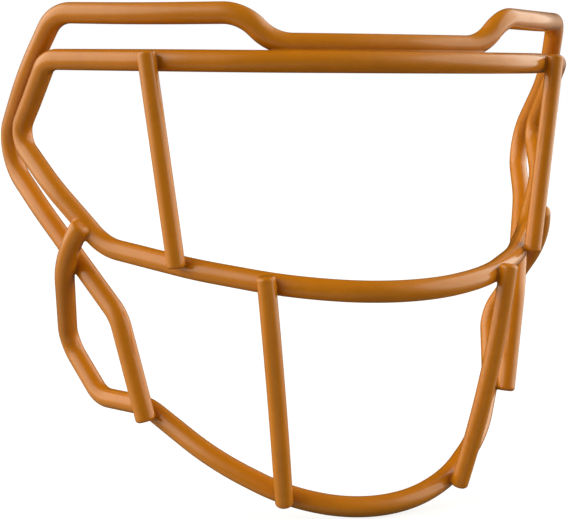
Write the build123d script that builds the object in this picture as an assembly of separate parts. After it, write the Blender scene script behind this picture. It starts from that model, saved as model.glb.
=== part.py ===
from build123d import *
import math
import os

os.makedirs("parts", exist_ok=True)

# Football helmet facemask: bent round bars, welded where they cross.
# Millimetres. X to the wearer's left-right axis, -Y to the front, +Z up.
# The mask is a mirror image of itself across the YZ plane, so each long bar
# is described by its half on the -X side.

# ---- driving dimensions ----
bar_diameter = 7.2        # main bars: 6.4 wire and 0.4 of coat on each side
upright_diameter = 6.2    # thinner bars beside the mouth and nose
end_round = 1.3           # rounded edge at each free bar end
upright_end_round = 1.1
arc_share = 0.999         # how much of half a run a bend may take
weld_reach = 1.9          # how far a weld reaches past the pressed contact patch
weld_ring = 1.5           # width of a weld's ring round the contact patch
weld_half_thick = 1.6     # half thickness of a weld, along the line between the axes
seam_bead = 1.9           # radius of the stitched seam bead at the brow
seam_offset = 2.5         # from the contact line, towards the back and down
seam_stitches = [(-25.0, -13.0), (-6.0, 6.0), (13.0, 25.0)]

# Corner points of each centre line, with the bend radius at each point.
# x, y, z, radius. The radius is capped where a run is too short for it.
crown_half = [            # lower end on the chin bar, up to the brow centre
    (-71.09, 1.23, -57.61, 0.0),
    (-78.75, 8.57, -20.92, 13.9),
    (-99.16, 41.11, 13.86, 90.0),
    (-109.37, 65.63, 34.59, 16.5),
    (-104.76, 32.59, 63.77, 120.0),
    (-97.53, 15.85, 83.74, 14.2),
    (-74.00, -12.19, 82.49, 150.0),
    (-46.60, -33.89, 82.29, 14.7),
    (-37.37, -36.17, 72.51, 16.0),
    (-12.96, -40.73, 72.39, 110.0),
]
loop_half = [             # brow centre, corner, elbow, middle run centre
    (-14.17, -44.58, 66.79, 150.0),
    (-42.11, -38.91, 66.88, 70.0),
    (-69.76, -19.57, 67.30, 90.0),
    (-100.33, 17.70, 68.03, 10.3),
    (-103.68, 34.34, 52.84, 40.6),
    (-106.66, 47.24, 40.82, 8.5),
    (-98.04, 25.88, 23.83, 47.8),
    (-83.08, 9.69, 3.59, 20.0),
    (-59.82, -23.54, -1.11, 90.0),
    (-35.96, -47.54, -4.49, 71.0),
    (-12.00, -58.09, -6.11, 57.0),
]
chin_half = [             # rear end on the eye loop, down to the chin centre
    (-90.45, 10.82, 12.06, 0.0),
    (-95.92, 18.63, -0.34, 50.0),
    (-89.26, 49.44, -36.53, 9.1),
    (-80.74, 30.99, -54.71, 11.5),
    (-68.72, 9.48, -54.17, 21.3),
    (-50.96, -15.42, -69.15, 94.0),
    (-30.85, -30.90, -79.17, 64.0),
    (-10.94, -38.81, -83.51, 60.0),
]
upper_upright = [         # from the brow run to the middle run
    (-75.24, -21.65, 70.20, 0.0),
    (-66.39, -24.24, -0.18, 0.0),
]
lower_upright = [         # from the middle run to the chin bar
    (-43.61, -48.19, -0.62, 0.0),
    (-39.25, -46.22, -38.49, 325.0),
    (-32.72, -35.54, -80.72, 0.0),
]


# ---- centre lines ----
def vec(p):
    return Vector(p[0], p[1], p[2])


def mirrored(points):
    return [(-p[0], p[1], p[2], p[3]) for p in points]


def full(half):
    """Both halves of a bar: the given half and its mirror image."""
    return list(half) + mirrored(half)[::-1]


def runs_and_arcs(points, closed=False):
    """Straight runs joined by tangent arcs: a list of edges and their kind."""
    n = len(points)
    v = [vec(p) for p in points]
    cuts = []
    for i in range(n):
        if not closed and i in (0, n - 1):
            cuts.append(None)
            continue
        a, b, c = v[i - 1], v[i], v[(i + 1) % n]
        d1, d2 = (b - a), (c - b)
        l1, l2 = d1.length, d2.length
        d1, d2 = d1 / l1, d2 / l2
        dot = max(-1.0, min(1.0, d1.dot(d2)))
        half_tan = math.tan(math.acos(dot) / 2)
        c1 = l1 if (not closed and i == 1) else l1 / 2
        c2 = l2 if (not closed and i == n - 2) else l2 / 2
        t = min(points[i][3] * half_tan, arc_share * min(c1, c2))
        r = t / half_tan
        start, end = b - d1 * t, b + d2 * t
        to_centre = (d2 - d1)
        to_centre = to_centre / to_centre.length
        hyp = math.sqrt(r * r + t * t)
        centre = b + to_centre * hyp
        middle = centre - to_centre * r
        cuts.append((start, middle, end, r))
    pieces = []
    last = n if closed else n - 1
    for i in range(last):
        j = (i + 1) % n
        p = cuts[i][2] if cuts[i] else v[i]
        q = cuts[j][0] if cuts[j] else v[j]
        if (q - p).length > 1e-3:
            pieces.append(("line", p, q))
        if cuts[j] and (closed or j != n - 1):
            pieces.append(("arc", cuts[j][0], cuts[j][1], cuts[j][2]))
    radii = [round(c[3], 2) for c in cuts if c]
    return pieces, radii


def wire_of(points, closed=False):
    pieces, radii = runs_and_arcs(points, closed)
    edges = []
    for piece in pieces:
        if piece[0] == "line":
            edges.append(Edge.make_line(piece[1], piece[2]))
        else:
            edges.append(Edge.make_three_point_arc(piece[1], piece[2], piece[3]))
    return Wire(edges), radii


def sampled(points, closed=False, step=0.25):
    """Points along a centre line, for finding where two bars touch."""
    pieces, _ = runs_and_arcs(points, closed)
    out = []
    for piece in pieces:
        edge = (Edge.make_line(piece[1], piece[2]) if piece[0] == "line"
                else Edge.make_three_point_arc(piece[1], piece[2], piece[3]))
        count = max(2, int(edge.length / step))
        for k in range(count):
            p = edge.position_at((k + 0.5) / count)
            out.append((p.X, p.Y, p.Z))
    return out


def bar(points, radius, closed=False):
    wire, radii = wire_of(points, closed)
    start = wire.position_at(0)
    direction = wire.tangent_at(0)
    section = Plane(origin=start, z_dir=direction) * Circle(radius)
    solid = sweep(section, path=wire)
    expected = math.pi * radius ** 2 * wire.length
    return solid, wire, expected, radii


def round_ends(solid, points, radius, amount, first=True, last=True):
    """Rounds the rim of a bar's flat ends."""
    spots = []
    if first:
        spots.append(vec(points[0]))
    if last:
        spots.append(vec(points[-1]))
    chosen = []
    for e in solid.edges():
        c = e.center(CenterOf.BOUNDING_BOX)
        for s in spots:
            if (c - s).length < 0.2 and abs(e.length - 2 * math.pi * radius) < 0.2:
                chosen.append(e)
    return fillet(chosen, amount) if chosen else solid


def closest(line_a, line_b, keep_a=None, keep_b=None):
    """Closest pair of points of two sampled centre lines."""
    la = [p for p in line_a if keep_a is None or keep_a(p)]
    lb = [p for p in line_b if keep_b is None or keep_b(p)]
    best = None
    for p in la:
        for q in lb:
            d = (p[0] - q[0]) ** 2 + (p[1] - q[1]) ** 2 + (p[2] - q[2]) ** 2
            if best is None or d < best[0]:
                best = (d, p, q)
    return math.sqrt(best[0]), Vector(*best[1]), Vector(*best[2])


def one_solid(shape):
    solids = shape.solids()
    return max(solids, key=lambda s: s.volume)


r_bar = bar_diameter / 2
r_up = upright_diameter / 2

crown_pts = full(crown_half)
loop_pts = full(loop_half)
chin_pts = full(chin_half)

# ---- bars ----
print("bars: volume against section x length, and the bend radii")
crown, crown_wire, crown_exp, crown_radii = bar(crown_pts, r_bar)
loop, loop_wire, loop_exp, loop_radii = bar(loop_pts, r_bar, closed=True)
chin, chin_wire, chin_exp, chin_radii = bar(chin_pts, r_bar)
uu_left, uu_wire, uu_exp, uu_radii = bar(upper_upright, r_up)
lu_left, lu_wire, lu_exp, lu_radii = bar(lower_upright, r_up)
for name, solid, wire, expected, radii in (
        ("crown", crown, crown_wire, crown_exp, crown_radii),
        ("loop", loop, loop_wire, loop_exp, loop_radii),
        ("chin", chin, chin_wire, chin_exp, chin_radii),
        ("upper upright", uu_left, uu_wire, uu_exp, uu_radii),
        ("lower upright", lu_left, lu_wire, lu_exp, lu_radii)):
    print(f"  {name}: {solid.volume:.1f} of {expected:.1f}, length {wire.length:.1f},"
          f" solids {len(solid.solids())}, valid {solid.is_valid}, radii {radii}")

crown = round_ends(crown, crown_pts, r_bar, end_round)
chin = round_ends(chin, chin_pts, r_bar, end_round)
uu_left = round_ends(uu_left, upper_upright, r_up, upright_end_round)
lu_left = round_ends(lu_left, lower_upright, r_up, upright_end_round)

# Seats: where bars are pressed together at a weld, the crossing bar is set
# into the bar that it lies on, so the two meet face to face.
chin_seated = one_solid(chin - loop)
crown_seated = one_solid((crown - loop) - chin_seated)
uu_left = one_solid(uu_left - loop)
lu_left = one_solid((lu_left - loop) - chin_seated)
uu_right = mirror(uu_left, about=Plane.YZ)
lu_right = mirror(lu_left, about=Plane.YZ)

# ---- welds ----
crown_line = sampled(crown_pts)
loop_line = sampled(loop_pts, closed=True)
chin_line = sampled(chin_pts)
uu_line = sampled(upper_upright)
lu_line = sampled(lower_upright)

on_left = lambda p: p[0] < 0
spots = {
    "upper_upright_top_weld": closest(uu_line, loop_line, lambda p: p[2] > 30, on_left),
    "upper_upright_foot_weld": closest(uu_line, loop_line, lambda p: p[2] < 30, on_left),
    "lower_upright_top_weld": closest(lu_line, loop_line, lambda p: p[2] > -30, on_left),
    "lower_upright_foot_weld": closest(lu_line, chin_line, lambda p: p[2] < -30, on_left),
    "crown_end_weld": closest(crown_line, chin_line, lambda p: p[0] < 0 and p[2] < -45, on_left),
    "crown_chin_weld": closest(crown_line, chin_line,
                               lambda p: p[0] < 0 and -30 < p[2] < 20, on_left),
    "chin_end_weld": closest(chin_line, loop_line, lambda p: p[0] < 0 and p[2] > -15, on_left),
}
radius_of = {
    "upper_upright_top_weld": r_up, "upper_upright_foot_weld": r_up,
    "lower_upright_top_weld": r_up, "lower_upright_foot_weld": r_up,
    "crown_end_weld": r_bar, "crown_chin_weld": r_bar, "chin_end_weld": r_bar,
}

# Everything that a weld lies against, on the left side.
around = {
    "upper_upright_top_weld": [uu_left, loop],
    "upper_upright_foot_weld": [uu_left, loop],
    "lower_upright_top_weld": [lu_left, loop],
    "lower_upright_foot_weld": [lu_left, chin_seated],
    "crown_end_weld": [crown_seated, chin_seated],
    "crown_chin_weld": [crown_seated, chin_seated, loop],
    "chin_end_weld": [chin_seated, loop],
}

def weld_body(contact, normal, reach, thick):
    """A round deposit about the contact: a ring with a rounded section."""
    return Plane(origin=contact, z_dir=normal) * Torus(reach - thick, thick)


welds = {}
for name, (gap, p, q) in spots.items():
    ra = radius_of[name]
    contact = p + (q - p) * (ra / (ra + r_bar))
    pressed = max(0.0, ra + r_bar - gap)
    reach = math.sqrt((ra + r_bar) * pressed) + weld_reach
    ring = weld_body(contact, q - p, reach, weld_half_thick)
    # no metal is drawn where the gap between the bars closes to nothing
    ring = ring - Plane(origin=contact, z_dir=q - p) * Cylinder(reach - weld_ring, 8)
    for other in around[name]:
        ring = ring - other
    solids = sorted(ring.solids(), key=lambda s: -s.volume)
    print(f"  {name}: reach {reach:.2f}, axes {gap:.2f} apart at ({contact.X:.1f}, {contact.Y:.1f}, {contact.Z:.1f}),"
          f" solids {[round(s.volume, 2) for s in solids]}")
    welds[name] = solids[0]

# Stitches along the crown bar's centre run, in the groove behind the brow run.
mid_crown = [p for p in crown_line if abs(p[0]) < 30]
gap, p, q = closest([p for p in mid_crown if abs(p[0]) < 1], loop_line, None,
                    lambda s: s[2] > 50 and abs(s[0]) < 5)
print(f"  brow seam: axes {gap:.2f} apart at the centre")
seam_parts = []
for k, (x0, x1) in enumerate(seam_stitches):
    ends = []
    for x in (x0, x1):
        near = min(mid_crown, key=lambda s: abs(s[0] - x))
        d, a, b = closest([near], loop_line, None, lambda s: s[2] > 50)
        n = (b - a) / d
        along = Vector(1, 0, 0)
        side = along.cross(n)
        side = side / side.length
        if side.Y < 0:
            side = side * -1
        contact = a + (b - a) * 0.5
        ends.append(contact + side * seam_offset)
    run = ends[1] - ends[0]
    body = Plane(origin=ends[0], z_dir=run) * Pos(0, 0, run.length / 2) * Cylinder(seam_bead, run.length)
    for e in ends:
        body = body + Pos(e.X, e.Y, e.Z) * Sphere(seam_bead)
    body = (body - crown_seated) - loop
    solids = sorted(body.solids(), key=lambda s: -s.volume)
    print(f"  stitch {k}: solids {[round(s.volume, 2) for s in solids]}")
    seam_parts.append(solids[0])

# ---- files ----
nodes = {
    "crown_bar": crown_seated,
    "eye_loop_bar": one_solid(loop),
    "chin_bar": chin_seated,
    "upper_upright_left": uu_left,
    "upper_upright_right": uu_right,
    "lower_upright_left": lu_left,
    "lower_upright_right": lu_right,
    "brow_seam_weld_left": seam_parts[0],
    "brow_seam_weld_centre": seam_parts[1],
    "brow_seam_weld_right": seam_parts[2],
}
for name, solid in welds.items():
    nodes[name + "_left"] = solid
    nodes[name + "_right"] = mirror(solid, about=Plane.YZ)

low = [1e9] * 3
high = [-1e9] * 3
for name, solid in nodes.items():
    box = solid.bounding_box()
    low = [min(a, b) for a, b in zip(low, (box.min.X, box.min.Y, box.min.Z))]
    high = [max(a, b) for a, b in zip(high, (box.max.X, box.max.Y, box.max.Z))]
    export_step(solid, f"parts/{name}.step")
    print(f"{name}: {solid.volume:.1f} mm3, valid {solid.is_valid}")
print("nodes", len(nodes), "box", [round(v, 2) for v in low], [round(v, 2) for v in high])
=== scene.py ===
import math

import bpy
import numpy as np
from mathutils import Matrix, Vector


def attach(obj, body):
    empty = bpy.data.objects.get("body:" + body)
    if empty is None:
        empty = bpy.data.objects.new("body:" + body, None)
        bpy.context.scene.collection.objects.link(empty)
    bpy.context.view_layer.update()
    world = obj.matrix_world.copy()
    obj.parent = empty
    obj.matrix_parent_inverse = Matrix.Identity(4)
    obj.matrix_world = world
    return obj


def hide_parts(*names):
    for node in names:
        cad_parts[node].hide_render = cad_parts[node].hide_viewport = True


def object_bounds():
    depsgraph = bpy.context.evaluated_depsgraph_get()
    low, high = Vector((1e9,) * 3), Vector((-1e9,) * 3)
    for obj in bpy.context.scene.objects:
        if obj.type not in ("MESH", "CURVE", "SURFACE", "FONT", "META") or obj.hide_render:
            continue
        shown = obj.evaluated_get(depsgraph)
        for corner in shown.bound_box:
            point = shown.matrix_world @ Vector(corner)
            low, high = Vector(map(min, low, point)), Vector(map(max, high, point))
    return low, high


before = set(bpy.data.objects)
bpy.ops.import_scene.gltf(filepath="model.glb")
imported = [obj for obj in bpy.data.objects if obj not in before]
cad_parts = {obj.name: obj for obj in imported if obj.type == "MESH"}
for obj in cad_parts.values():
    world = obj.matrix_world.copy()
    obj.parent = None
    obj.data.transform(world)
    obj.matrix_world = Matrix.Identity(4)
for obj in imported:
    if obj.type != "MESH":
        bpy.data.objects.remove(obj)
cad_lo, cad_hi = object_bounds()

MM = 0.001

# ------------------------------------------------------------------ geometry
# Corner points of each centre line (millimetres) with the bend radius at each
# point, the same as the CAD bars. Long bars are given by their -X half.
BAR_R = 3.6
UP_R = 3.1
SKIN = 0.012              # the drawn coat stays this far inside the CAD box

CROWN = [
    (-71.09, 1.23, -57.61, 0.0),
    (-78.75, 8.57, -20.92, 13.9),
    (-99.16, 41.11, 13.86, 90.0),
    (-109.37, 65.63, 34.59, 16.5),
    (-104.76, 32.59, 63.77, 120.0),
    (-97.53, 15.85, 83.74, 14.2),
    (-74.00, -12.19, 82.49, 150.0),
    (-46.60, -33.89, 82.29, 14.7),
    (-37.37, -36.17, 72.51, 16.0),
    (-12.96, -40.73, 72.39, 110.0),
]
LOOP = [
    (-14.17, -44.58, 66.79, 150.0),
    (-42.11, -38.91, 66.88, 70.0),
    (-69.76, -19.57, 67.30, 90.0),
    (-100.33, 17.70, 68.03, 10.3),
    (-103.68, 34.34, 52.84, 40.6),
    (-106.66, 47.24, 40.82, 8.5),
    (-98.04, 25.88, 23.83, 47.8),
    (-83.08, 9.69, 3.59, 20.0),
    (-59.82, -23.54, -1.11, 90.0),
    (-35.96, -47.54, -4.49, 71.0),
    (-12.00, -58.09, -6.11, 57.0),
]
CHIN = [
    (-90.45, 10.82, 12.06, 0.0),
    (-95.92, 18.63, -0.34, 50.0),
    (-89.26, 49.44, -36.53, 9.1),
    (-80.74, 30.99, -54.71, 11.5),
    (-68.72, 9.48, -54.17, 21.3),
    (-50.96, -15.42, -69.15, 94.0),
    (-30.85, -30.90, -79.17, 64.0),
    (-10.94, -38.81, -83.51, 60.0),
]
UPPER = [(-75.24, -21.65, 70.20, 0.0), (-66.39, -24.24, -0.18, 0.0)]
LOWER = [(-43.61, -48.19, -0.62, 0.0), (-39.25, -46.22, -38.49, 325.0), (-32.72, -35.54, -80.72, 0.0)]


def mirrored(points):
    return [(-p[0], p[1], p[2], p[3]) for p in points]


def full(half):
    return list(half) + mirrored(half)[::-1]


def centreline(points, closed, arc_step, run_step):
    """Stations along runs joined by tangent arcs: positions and tangents."""
    v = np.array([p[:3] for p in points], float)
    n = len(v)
    cuts = [None] * n
    for i in range(n):
        if not closed and i in (0, n - 1):
            continue
        a, b, c = v[i - 1], v[i], v[(i + 1) % n]
        l1, l2 = np.linalg.norm(b - a), np.linalg.norm(c - b)
        d1, d2 = (b - a) / l1, (c - b) / l2
        th = math.acos(max(-1.0, min(1.0, float(d1 @ d2))))
        ht = math.tan(th / 2)
        c1 = l1 if (not closed and i == 1) else l1 / 2
        c2 = l2 if (not closed and i == n - 2) else l2 / 2
        t = min(points[i][3] * ht, 0.999 * min(c1, c2))
        m = d2 - math.cos(th) * d1
        cuts[i] = (b - d1 * t, b + d2 * t, t / ht, th, d1, m / np.linalg.norm(m))
    pos, tan = [], []
    for i in range(n if closed else n - 1):
        j = (i + 1) % n
        p = cuts[i][1] if cuts[i] else v[i]
        q = cuts[j][0] if cuts[j] else v[j]
        length = np.linalg.norm(q - p)
        direction = (v[j] - v[i]) / np.linalg.norm(v[j] - v[i])
        count = max(1, int(math.ceil(length / run_step)))
        for k in range(count):
            pos.append(p + (q - p) * (k / count))
            tan.append(direction)
        if cuts[j] and (closed or j != n - 1):
            s, e, r, th, d1, m = cuts[j]
            count = max(2, int(math.ceil(max(r * th / arc_step, math.degrees(th) / 5.0))))
            for k in range(count):
                w = th * k / count
                pos.append(s + r * (math.sin(w) * d1 + (1 - math.cos(w)) * m))
                tan.append(math.cos(w) * d1 + math.sin(w) * m)
    if not closed:
        pos.append(v[-1])
        tan.append(tan[-1] if len(tan) == 1 else (v[-1] - v[-2]) / np.linalg.norm(v[-1] - v[-2]))
    pos, tan = np.array(pos), np.array(tan)
    keep = [0]
    for i in range(1, len(pos)):
        if np.linalg.norm(pos[i] - pos[keep[-1]]) > 0.05:
            keep.append(i)
    return pos[keep], tan[keep]


def frames(pos, tan, closed):
    """A side vector at each station that doesn't twist, and closes on itself."""
    ref = np.array([0.0, 0.0, 1.0]) if abs(tan[0][2]) < 0.9 else np.array([0.0, 1.0, 0.0])
    u = np.cross(tan[0], ref)
    u /= np.linalg.norm(u)
    us = [u]
    for i in range(1, len(pos)):
        t = tan[i]
        u = us[-1] - (us[-1] @ t) * t
        us.append(u / np.linalg.norm(u))
    us = np.array(us)
    if closed:
        t = tan[0]
        end = us[-1] - (us[-1] @ t) * t
        end /= np.linalg.norm(end)
        angle = math.atan2(float(np.cross(end, us[0]) @ t), float(end @ us[0]))
        for i in range(len(us)):
            w = angle * i / len(us)
            us[i] = math.cos(w) * us[i] + math.sin(w) * np.cross(tan[i], us[i])
    return us


def coat_swell(s, w, seed):
    """Thickness changes of the dipped coat, in millimetres, along s and round w."""
    a = (np.sin(s * 0.11 + seed) * np.cos(w + 0.02 * s + seed)
         + 0.6 * np.sin(s * 0.23 + 2.1 * seed) * np.cos(2 * w - 0.03 * s)
         + 0.4 * np.sin(s * 0.041 + 0.7 * seed))
    return -0.010 + 0.005 * a


def tube(name, points, radius, closed, sides, end_round, seed):
    pos, tan = centreline(points, closed, 0.9, 2.5)
    us = frames(pos, tan, closed)
    vs = np.cross(tan, us)
    s = np.concatenate([[0], np.cumsum(np.linalg.norm(np.diff(pos, axis=0), axis=1))])
    w = np.arange(sides) * 2 * math.pi / sides
    rings, radii, offsets = [], [], []
    if closed:
        for i in range(len(pos)):
            rings.append(i), radii.append(radius), offsets.append(0.0)
    else:
        steps = 8
        phis = [math.pi / 2 * k / steps for k in range(steps, 0, -1)]
        for ph in phis:
            rings.append(0), radii.append(radius - end_round + end_round * math.cos(ph))
            offsets.append(end_round * (1 - math.sin(ph)))
        first_len, last_len = end_round, s[-1] - end_round
        for i in range(len(pos)):
            if s[i] > first_len * 1.02 and s[i] < last_len - 0.02 * end_round:
                rings.append(i), radii.append(radius), offsets.append(0.0)
        rings.insert(steps, 0), radii.insert(steps, radius), offsets.insert(steps, end_round)
        rings.append(len(pos) - 1), radii.append(radius), offsets.append(-end_round)
        for ph in phis[::-1]:
            rings.append(len(pos) - 1), radii.append(radius - end_round + end_round * math.cos(ph))
            offsets.append(-end_round * (1 - math.sin(ph)))
    verts = []
    for i, r, off in zip(rings, radii, offsets):
        c = pos[i] + tan[i] * off
        swell = coat_swell(s[i] + off, w, seed) * (r / radius) - SKIN
        if closed:
            swell = coat_swell_closed(s[i], w, seed, s[-1] + np.linalg.norm(pos[0] - pos[-1])) - SKIN
        rr = r + swell
        verts.append(c + us[i] * (np.cos(w) * rr)[:, None] + vs[i] * (np.sin(w) * rr)[:, None])
    count = len(verts)
    verts = list(np.concatenate(verts))
    faces = []
    for i in range(count if closed else count - 1):
        j = (i + 1) % count
        shift = 0
        for k in range(sides):
            m = (k + 1) % sides
            faces.append((i * sides + k, i * sides + m, j * sides + m, j * sides + k))
    if not closed:
        # slightly domed ends: one inner ring and a centre point each
        for ring, i, sign in ((0, 0, -1), (count - 1, len(pos) - 1, 1)):
            inner = len(verts)
            c = pos[i] + tan[i] * (sign * 0.0)
            rr = (radius - end_round) * 0.5
            for k in range(sides):
                verts.append(c - tan[i] * (sign * SKIN) + us[i] * (math.cos(w[k]) * rr) + vs[i] * (math.sin(w[k]) * rr))
            centre = len(verts)
            verts.append(c - tan[i] * (sign * SKIN))
            for k in range(sides):
                m = (k + 1) % sides
                a, b = ring * sides + k, ring * sides + m
                if sign < 0:
                    faces.append((b, a, inner + k, inner + m))
                    faces.append((inner + m, inner + k, centre))
                else:
                    faces.append((a, b, inner + m, inner + k))
                    faces.append((inner + k, inner + m, centre))
    return make_mesh(name, np.array(verts), faces)


def coat_swell_closed(s, w, seed, total):
    """The same for a loop: whole waves, so that the coat meets itself."""
    q = 2 * math.pi * s / total
    a = (np.sin(11 * q + seed) * np.cos(w + 2 * q + seed)
         + 0.6 * np.sin(23 * q + 2.1 * seed) * np.cos(2 * w - 3 * q)
         + 0.4 * np.sin(4 * q + 0.7 * seed))
    return -0.010 + 0.005 * a


def make_mesh(name, verts, faces, normals=None):
    mesh = bpy.data.meshes.new(name)
    mesh.from_pydata([tuple(p * MM) for p in verts], [], faces)
    mesh.update()
    mesh.shade_smooth()
    if normals is not None:
        mesh.normals_split_custom_set_from_vertices([tuple(n) for n in normals])
    obj = bpy.data.objects.new(name, mesh)
    bpy.context.scene.collection.objects.link(obj)
    return obj


# ------------------------------------------------------- webs where bars meet
class Bar:
    """Distance to a bar's surface, with its rounded free ends."""

    def __init__(self, points, radius, closed, end_round):
        self.pos, self.tan = centreline(points, closed, 0.35, 1.0)
        self.radius, self.closed, self.round = radius, closed, end_round
        self.ends = [] if closed else [(self.pos[0], -self.tan[0]), (self.pos[-1], self.tan[-1])]
        a = self.pos
        if closed:
            a = np.vstack([a, a[:1]])
        else:
            a = np.vstack([a[0] - self.tan[0] * 8, a, a[-1] + self.tan[-1] * 8])
        self.a, self.b = a[:-1], a[1:]

    def near(self, centre, reach):
        mid = (self.a + self.b) / 2
        half = np.linalg.norm(self.b - self.a, axis=1) / 2
        keep = np.linalg.norm(mid - centre, axis=1) < reach + half + self.radius + 4
        return self.a[keep], self.b[keep]

    def distance(self, p, seg):
        a, b = seg
        best = np.full(len(p), 1e9)
        for q0, q1 in zip(a, b):
            d = q1 - q0
            t = np.clip(((p - q0) @ d) / (d @ d), 0, 1)
            r = p - q0 - t[:, None] * d
            best = np.minimum(best, (r * r).sum(1))
        radial = np.sqrt(best)
        out = radial - self.radius
        for end, direction in self.ends:
            axial = (p - end) @ direction
            near_end = np.linalg.norm(p - end, axis=1) < 14
            e = self.round
            qx, qy = radial - (self.radius - e), axial + e
            capped = (np.sqrt(np.maximum(qx, 0) ** 2 + np.maximum(qy, 0) ** 2)
                      + np.minimum(np.maximum(qx, qy), 0) - e)
            out = np.where(near_end & (axial > -6), capped, out)
        return out


def smooth_union(a, b, k):
    h = np.maximum(k - np.abs(a - b), 0) / k
    return np.minimum(a, b) - h * h * h * k / 6


def surface_net(field, low, step, shape):
    """A closed quad mesh of field = 0 on a grid."""
    nx, ny, nz = shape
    g = np.stack(np.meshgrid(np.arange(nx), np.arange(ny), np.arange(nz), indexing="ij"), -1)
    pts = low + g.reshape(-1, 3) * step
    f = field(pts).reshape(shape)
    s = f < 0
    corners = [(0, 0, 0), (1, 0, 0), (0, 1, 0), (1, 1, 0), (0, 0, 1), (1, 0, 1), (0, 1, 1), (1, 1, 1)]
    count = sum(s[cx:nx - 1 + cx, cy:ny - 1 + cy, cz:nz - 1 + cz].astype(int) for cx, cy, cz in corners)
    active = (count > 0) & (count < 8)
    cells = np.argwhere(active)
    index = -np.ones(active.shape, int)
    index[tuple(cells.T)] = np.arange(len(cells))
    total, weight = np.zeros((len(cells), 3)), np.zeros(len(cells))
    for i in range(8):
        for j in range(i + 1, 8):
            ci, cj = np.array(corners[i]), np.array(corners[j])
            if abs(ci - cj).sum() != 1:
                continue
            fi, fj = f[tuple((cells + ci).T)], f[tuple((cells + cj).T)]
            cross = (fi < 0) != (fj < 0)
            t = np.where(cross, fi / np.where(cross, fi - fj, 1), 0)
            total += np.where(cross[:, None], ci + t[:, None] * (cj - ci), 0)
            weight += cross
    verts = low + (cells + total / weight[:, None]) * step
    faces = []
    for axis in range(3):
        a1, a2 = [a for a in range(3) if a != axis]
        first = [slice(0, n) for n in shape]
        second = [slice(0, n) for n in shape]
        first[axis], second[axis] = slice(0, shape[axis] - 1), slice(1, shape[axis])
        change = s[tuple(first)] != s[tuple(second)]
        where = np.argwhere(change)
        where = where[(where[:, a1] > 0) & (where[:, a2] > 0)
                      & (where[:, a1] < shape[a1] - 1) & (where[:, a2] < shape[a2] - 1)]
        inside_first = s[tuple(where.T)]

        def at(d1, d2):
            c = where.copy()
            c[:, a1] -= d1
            c[:, a2] -= d2
            return index[tuple(c.T)]
        quad = np.stack([at(1, 1), at(0, 1), at(0, 0), at(1, 0)], 1)
        flip = inside_first if axis != 1 else ~inside_first
        quad = np.where(flip[:, None], quad, quad[:, ::-1])
        faces.append(quad)
    return verts, np.concatenate(faces), low + (cells + 0.5) * step


def settle(verts, field, low, rounds=4):
    """Moves the points of a net onto the surface, and gives its normals."""
    e = 0.02
    normals = None
    for r in range(rounds):
        f = field(verts)
        grad = np.stack([(field(verts + d) - field(verts - d)) / (2 * e)
                         for d in np.eye(3) * e], 1)
        size = np.linalg.norm(grad, axis=1)
        size[size < 1e-6] = 1
        normals = grad / size[:, None]
        if r < rounds - 1:
            step = np.clip(f / size, -0.25, 0.25)
            verts = verts - normals * step[:, None]
    return verts, normals


def web(bars, centre, reach, k, step, axis=None, half_length=0.0):
    """The coat's smooth web where two bars touch. Beyond it, the piece lies just inside the bars."""
    centre = np.array(centre, float)
    far = reach + half_length
    segs = [b.near(centre, far) for b in bars]
    depth = 0.006 + SKIN + 0.012

    def blended(p):
        d = [b.distance(p, s) for b, s in zip(bars, segs)]
        out = d[0]
        for other in d[1:]:
            out = smooth_union(out, other, k)
        return out + depth

    def field(p):
        q = p - centre
        if axis is not None:
            along = np.clip(q @ axis, -half_length, half_length)
            q = q - along[:, None] * axis
        limit = np.linalg.norm(q, axis=1) - reach
        return np.maximum(blended(p), limit)

    extent = np.full(3, reach) if axis is None else np.abs(axis) * half_length + reach
    low = centre - extent - 3 * step
    shape = tuple(int(math.ceil(x)) for x in (2 * extent + 6 * step) / step)
    verts, faces, cell_mid = surface_net(field, low, step, shape)
    verts, normals = settle(verts, field, low)
    verts = verts + 0.01 * (cell_mid - verts)   # keeps points that settle on one spot apart
    return verts, [tuple(int(i) for i in q) for q in faces], normals


def mirror_mesh(name, verts, faces, normals):
    """The same web on the +X side."""
    flip = np.array([-1.0, 1.0, 1.0])
    return make_mesh(name, verts * flip, [q[::-1] for q in faces], normals * flip)


def nearest(bar_a, bar_b, keep):
    """The point midway between two bars where they touch."""
    pa = bar_a.pos[[keep(p) for p in bar_a.pos]]
    d = np.linalg.norm(pa[:, None] - bar_b.pos[None], axis=2)
    i, j = np.unravel_index(d.argmin(), d.shape)
    p, q = pa[i], bar_b.pos[j]
    return p + (q - p) * (bar_a.radius / (bar_a.radius + bar_b.radius))


SIDES = 64
bars = {
    "crown_bar": (full(CROWN), BAR_R, False, 1.3),
    "eye_loop_bar": (full(LOOP), BAR_R, True, 0),
    "chin_bar": (full([(-90.74, 11.23, 11.41, 0.0)] + CHIN[1:]), BAR_R, False, 1.9),
    "upper_upright_left": (UPPER, UP_R, False, 1.1),
    "upper_upright_right": (mirrored(UPPER), UP_R, False, 1.1),
    "lower_upright_left": (LOWER, UP_R, False, 1.1),
    "lower_upright_right": (mirrored(LOWER), UP_R, False, 1.1),
}
pieces, fields = {}, {}
for number, (name, (points, radius, closed, rounding)) in enumerate(bars.items()):
    pieces[name] = tube("coat_" + name, points, radius, closed, SIDES, rounding, 1.3 * number + 0.4)
    fields[name] = Bar(points, radius, closed, rounding)

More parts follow.
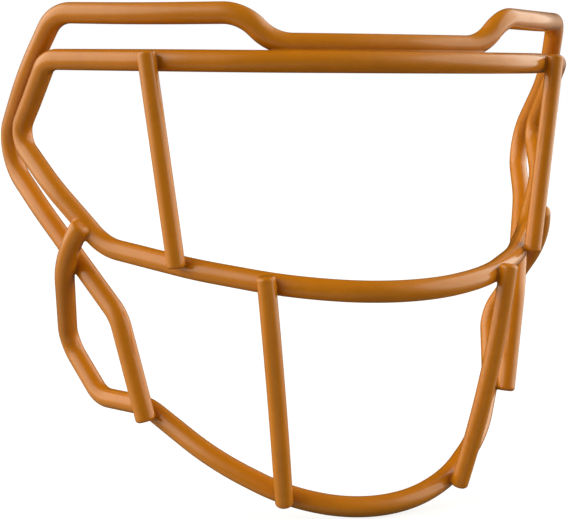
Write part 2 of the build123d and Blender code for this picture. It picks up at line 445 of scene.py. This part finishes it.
STEP = 0.30
webs = [
    # name, first bar, second bar, which part of the first bar, reach, blend
    ("upper_upright_top_weld", "upper_upright", "eye_loop_bar", lambda p: p[2] > 30, 6.4, 1.2),
    ("upper_upright_foot_weld", "upper_upright", "eye_loop_bar", lambda p: p[2] < 30, 6.4, 1.2),
    ("lower_upright_top_weld", "lower_upright", "eye_loop_bar", lambda p: p[2] > -30, 6.4, 1.2),
    ("lower_upright_foot_weld", "lower_upright", "chin_bar", lambda p: p[2] < -30, 6.4, 1.2),
    ("crown_end_weld", "crown_bar", "chin_bar", lambda p: p[2] < -45, 6.4, 1.2),
    ("crown_chin_weld", "crown_bar", "chin_bar", lambda p: -30 < p[2] < 20, 6.6, 1.1),
    ("chin_end_weld", "chin_bar", "eye_loop_bar", lambda p: p[2] > -15, 7.8, 1.6),
]
for name, first, second, part, reach, blend in webs:
    a = fields[first + "_left"] if first + "_left" in fields else fields[first]
    b = fields[second]
    centre = nearest(a, b, lambda p: part(p) and p[0] < 0)
    verts, faces, normals = web([a, b], centre, reach, blend, STEP)
    pieces[name + "_left"] = make_mesh("coat_" + name + "_left", verts, faces, normals)
    pieces[name + "_right"] = mirror_mesh("coat_" + name + "_right", verts, faces, normals)

# The long seam where the crown bar lies on the brow run: one web in three parts.
seam_mid = (np.array([0, -40.73, 72.39]) + np.array([0, -44.58, 66.79])) / 2
seam_bars = [fields["crown_bar"], fields["eye_loop_bar"]]
verts, faces, normals = web(seam_bars, seam_mid, 6.0, 1.3, STEP, axis=np.array([1.0, 0, 0]), half_length=13.5)
pieces["brow_seam_weld_centre"] = make_mesh("coat_brow_seam_weld_centre", verts, faces, normals)
slant = np.array([1.0, -0.19, 0.0])
verts, faces, normals = web(seam_bars, seam_mid + np.array([-26.0, 2.6, 0.0]), 6.0, 1.3, STEP,
                            axis=slant / np.linalg.norm(slant), half_length=13.5)
pieces["brow_seam_weld_left"] = make_mesh("coat_brow_seam_weld_left", verts, faces, normals)
pieces["brow_seam_weld_right"] = mirror_mesh("coat_brow_seam_weld_right", verts, faces, normals)


# ------------------------------------------------------------------ materials
def coat_material(name, colour, rough, bump):
    """Thick glossy dipped coat: faint orange peel, soft sags, slight mottling and rubbed spots, with painted shade in
    the crevices between bars.
    """
    mat = bpy.data.materials.new(name)
    mat.use_nodes = True
    nt = mat.node_tree
    nodes, links = nt.nodes, nt.links
    nodes.clear()
    out = nodes.new("ShaderNodeOutputMaterial")
    bsdf = nodes.new("ShaderNodeBsdfPrincipled")
    links.new(bsdf.outputs["BSDF"], out.inputs["Surface"])
    coord = nodes.new("ShaderNodeTexCoord")

    def noise(scale, detail, roughness, distortion=0.0):
        n = nodes.new("ShaderNodeTexNoise")
        n.inputs["Scale"].default_value = scale
        n.inputs["Detail"].default_value = detail
        n.inputs["Roughness"].default_value = roughness
        n.inputs["Distortion"].default_value = distortion
        links.new(coord.outputs["Object"], n.inputs["Vector"])
        return n

    def ramp(source, stops, interpolation="EASE"):
        r = nodes.new("ShaderNodeValToRGB")
        r.color_ramp.interpolation = interpolation
        while len(r.color_ramp.elements) < len(stops):
            r.color_ramp.elements.new(0.5)
        for element, (at, value) in zip(r.color_ramp.elements, stops):
            element.position = at
            element.color = (*value, 1) if isinstance(value, tuple) else (value, value, value, 1)
        links.new(source, r.inputs["Fac"])
        return r

    broad = noise(38, 3, 0.55)
    mottle = noise(240, 4, 0.6, 0.3)
    lighter = tuple(min(1.0, c * 1.045) for c in colour)
    darker = tuple(c * 0.955 for c in colour)
    tone = ramp(broad.outputs["Fac"], [(0.30, darker), (0.5, colour), (0.72, lighter)])
    fine = ramp(mottle.outputs["Fac"], [(0.35, 0.975), (0.65, 1.025)])
    mix = nodes.new("ShaderNodeMix")
    mix.data_type = "RGBA"
    mix.blend_type = "MULTIPLY"
    mix.inputs["Factor"].default_value = 1.0
    links.new(tone.outputs["Color"], mix.inputs["A"])
    links.new(fine.outputs["Color"], mix.inputs["B"])
    # painted shade: an ambient occlusion mask darkens the base colour where bars come close together
    crevice_shade_ao = nodes.new("ShaderNodeAmbientOcclusion")
    crevice_shade_ao.samples = 6
    crevice_shade_ao.inputs["Distance"].default_value = 0.011
    crevice_shade_ramp = ramp(crevice_shade_ao.outputs["AO"], [(0.25, (0.55, 0.61, 0.9)), (0.86, (1.0, 1.0, 1.0))], "LINEAR")
    # multiplies the painted crevice shade into the base colour
    painted_shade_mix = nodes.new("ShaderNodeMix")
    painted_shade_mix.data_type = "RGBA"
    painted_shade_mix.blend_type = "MULTIPLY"
    painted_shade_mix.inputs["Factor"].default_value = 1.0
    links.new(mix.outputs["Result"], painted_shade_mix.inputs["A"])
    links.new(crevice_shade_ramp.outputs["Color"], painted_shade_mix.inputs["B"])
    links.new(painted_shade_mix.outputs["Result"], bsdf.inputs["Base Color"])

    smear = noise(95, 5, 0.62, 0.6)
    rough_ramp = ramp(smear.outputs["Fac"], [(0.25, rough - 0.035), (0.55, rough), (0.8, rough + 0.06)])
    links.new(rough_ramp.outputs["Color"], bsdf.inputs["Roughness"])

    peel = noise(900, 2, 0.5)
    sag = noise(130, 2, 0.4)
    add = nodes.new("ShaderNodeMath")
    add.operation = "MULTIPLY_ADD"
    add.inputs[1].default_value = 0.18
    links.new(peel.outputs["Fac"], add.inputs[0])
    links.new(sag.outputs["Fac"], add.inputs[2])
    node = nodes.new("ShaderNodeBump")
    node.inputs["Strength"].default_value = bump
    node.inputs["Distance"].default_value = 0.00025
    links.new(add.outputs["Value"], node.inputs["Height"])
    links.new(node.outputs["Normal"], bsdf.inputs["Normal"])
    links.new(node.outputs["Normal"], bsdf.inputs["Coat Normal"])
    bsdf.inputs["IOR"].default_value = 1.5
    bsdf.inputs["Specular IOR Level"].default_value = 0.19
    bsdf.inputs["Coat Weight"].default_value = 0.84
    bsdf.inputs["Coat Roughness"].default_value = 0.075
    bsdf.inputs["Coat IOR"].default_value = 1.5
    return mat


bar_coat = coat_material("bar_coat", (0.76, 0.245, 0.002), 0.36, 0.16)
weld_coat = coat_material("weld_coat", (0.75, 0.242, 0.002), 0.36, 0.17)

for node, piece in pieces.items():
    weld = "weld" in node
    piece.data.materials.clear()
    piece.data.materials.append(weld_coat if weld else bar_coat)
    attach(piece, "root")
    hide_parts(node)

# ---------------------------------------------------------- floor and backdrop
FLOOR_Z = cad_lo.z - 0.0002


def pale_floor(name, glow, colour):
    """Pale sweep: nearly white of itself, with a faint soft shadow under the part."""
    mat = bpy.data.materials.new(name)
    mat.use_nodes = True
    nodes, links = mat.node_tree.nodes, mat.node_tree.links
    nodes.clear()
    out = nodes.new("ShaderNodeOutputMaterial")
    add = nodes.new("ShaderNodeAddShader")
    emit = nodes.new("ShaderNodeEmission")
    emit.inputs["Color"].default_value = (1, 1, 1, 1)
    emit.inputs["Strength"].default_value = glow
    matt = nodes.new("ShaderNodeBsdfDiffuse")
    matt.inputs["Color"].default_value = (*colour, 1)
    links.new(emit.outputs[0], add.inputs[0])
    links.new(matt.outputs[0], add.inputs[1])
    links.new(add.outputs[0], out.inputs["Surface"])
    return mat


floor_mat = pale_floor("floor_pale", 0.86, (0.30, 0.30, 0.30))
size = 6.0
floor_mesh = bpy.data.meshes.new("floor")
floor_mesh.from_pydata([(-size, -size, FLOOR_Z), (size, -size, FLOOR_Z), (size, size, FLOOR_Z), (-size, size, FLOOR_Z)],
                       [], [(0, 1, 2, 3)])
floor = bpy.data.objects.new("floor", floor_mesh)
bpy.context.scene.collection.objects.link(floor)
floor_mesh.materials.append(floor_mat)
floor.visible_diffuse = False
floor.visible_glossy = False

# ---------------------------------------------------------------------- light
# A white room seen by the camera, and two large soft boxes in dim surroundings
# that light the part: one on each side, a little behind its front.
SOFTBOXES = [
    # azimuth from the front (-Y) towards +X, elevation, half width, half height
    # (degrees), softness of the edge, brightness
    (-105.0, 23.0, 43.0, 36.0, 0.62, 1.40),
    (-105.0, 23.0, 39.0, 32.0, 0.12, 0.90),     # its bright crisp middle
    (81.0, 20.0, 46.0, 38.0, 0.50, 1.00),
    (83.0, 21.0, 42.0, 34.0, 0.10, 1.00),
    (-70.0, -50.0, 60.0, 18.0, 0.80, 0.30),
    (163.0, 5.0, 34.0, 75.0, 0.60, -0.095),     # a dark screen behind the part
]
AMBIENT = 0.115

world = bpy.data.worlds.new("studio")
bpy.context.scene.world = world
world.use_nodes = True
wn, wl = world.node_tree.nodes, world.node_tree.links
wn.clear()


def math_node(operation, *values):
    node = wn.new("ShaderNodeMath")
    node.operation = operation
    for i, value in enumerate(values):
        if isinstance(value, (int, float)):
            node.inputs[i].default_value = value
        else:
            wl.new(value, node.inputs[i])
    return node.outputs[0]


def along(source, direction):
    node = wn.new("ShaderNodeVectorMath")
    node.operation = "DOT_PRODUCT"
    wl.new(source, node.inputs[0])
    node.inputs[1].default_value = direction
    return node.outputs["Value"]


sky = wn.new("ShaderNodeTexCoord").outputs["Generated"]
total = AMBIENT
for az, el, half_w, half_h, soft, level in SOFTBOXES:
    az, el = math.radians(az), math.radians(el)
    centre = (math.sin(az) * math.cos(el), -math.cos(az) * math.cos(el), math.sin(el))
    across = (math.cos(az), math.sin(az), 0.0)
    upward = (-math.sin(az) * math.sin(el), math.cos(az) * math.sin(el), math.cos(el))
    x = math_node("ARCTAN2", along(sky, across), along(sky, centre))
    y = math_node("ARCSINE", along(sky, upward))
    x = math_node("POWER", math_node("ABSOLUTE", math_node("DIVIDE", x, math.radians(half_w))), 2.5)
    y = math_node("POWER", math_node("ABSOLUTE", math_node("DIVIDE", y, math.radians(half_h))), 2.5)
    edge = math_node("POWER", math_node("ADD", x, y), 1 / 2.5)
    fade = wn.new("ShaderNodeMapRange")
    fade.interpolation_type = "SMOOTHSTEP"
    fade.inputs["From Min"].default_value = 1 + soft
    fade.inputs["From Max"].default_value = 1 - soft
    fade.inputs["To Min"].default_value = 0.0
    fade.inputs["To Max"].default_value = level
    wl.new(edge, fade.inputs["Value"])
    total = math_node("ADD", fade.outputs["Result"], total)

room = wn.new("ShaderNodeBackground")
room.inputs["Color"].default_value = (1.0, 0.968, 0.84, 1)
wl.new(total, room.inputs["Strength"])
white = wn.new("ShaderNodeBackground")
white.inputs["Color"].default_value = (1, 1, 1, 1)
white.inputs["Strength"].default_value = 1.0
path = wn.new("ShaderNodeLightPath")
choose = wn.new("ShaderNodeMixShader")
wl.new(path.outputs["Is Camera Ray"], choose.inputs[0])
wl.new(room.outputs[0], choose.inputs[1])
wl.new(white.outputs[0], choose.inputs[2])
world_out = wn.new("ShaderNodeOutputWorld")
wl.new(choose.outputs[0], world_out.inputs["Surface"])

# --------------------------------------------------------------------- camera
AZ, EL, ROLL = -19.645, 7.599, 0.098
F_PX, DIST = 1308.08, 450.633
TARGET = np.array([-25.732, -0.026 - 15.69, -68.536 + 68.39])
a, e, r = (math.radians(x) for x in (AZ, EL, ROLL))
back = np.array([math.sin(a) * math.cos(e), -math.cos(a) * math.cos(e), math.sin(e)])
right = np.cross(-back, [0, 0, 1.0])
right /= np.linalg.norm(right)
up = np.cross(right, -back)
right_r = right * math.cos(r) + up * math.sin(r)
up_r = -right * math.sin(r) + up * math.cos(r)
place = (TARGET + back * DIST) * MM
cam_data = bpy.data.cameras.new("camera")
cam_data.sensor_fit = "HORIZONTAL"
cam_data.sensor_width = 36.0
cam_data.lens = F_PX * 36.0 / 569.0
cam_data.clip_start, cam_data.clip_end = 0.01, 50
cam = bpy.data.objects.new("camera", cam_data)
bpy.context.scene.collection.objects.link(cam)
cam.matrix_world = Matrix((
    (right_r[0], up_r[0], back[0], place[0]),
    (right_r[1], up_r[1], back[1], place[1]),
    (right_r[2], up_r[2], back[2], place[2]),
    (0, 0, 0, 1)))
bpy.context.scene.camera = cam

scene = bpy.context.scene
scene.view_settings.view_transform = "Standard"
scene.view_settings.look = "None"
scene.view_settings.exposure = 0.0
scene.view_settings.gamma = 1.0
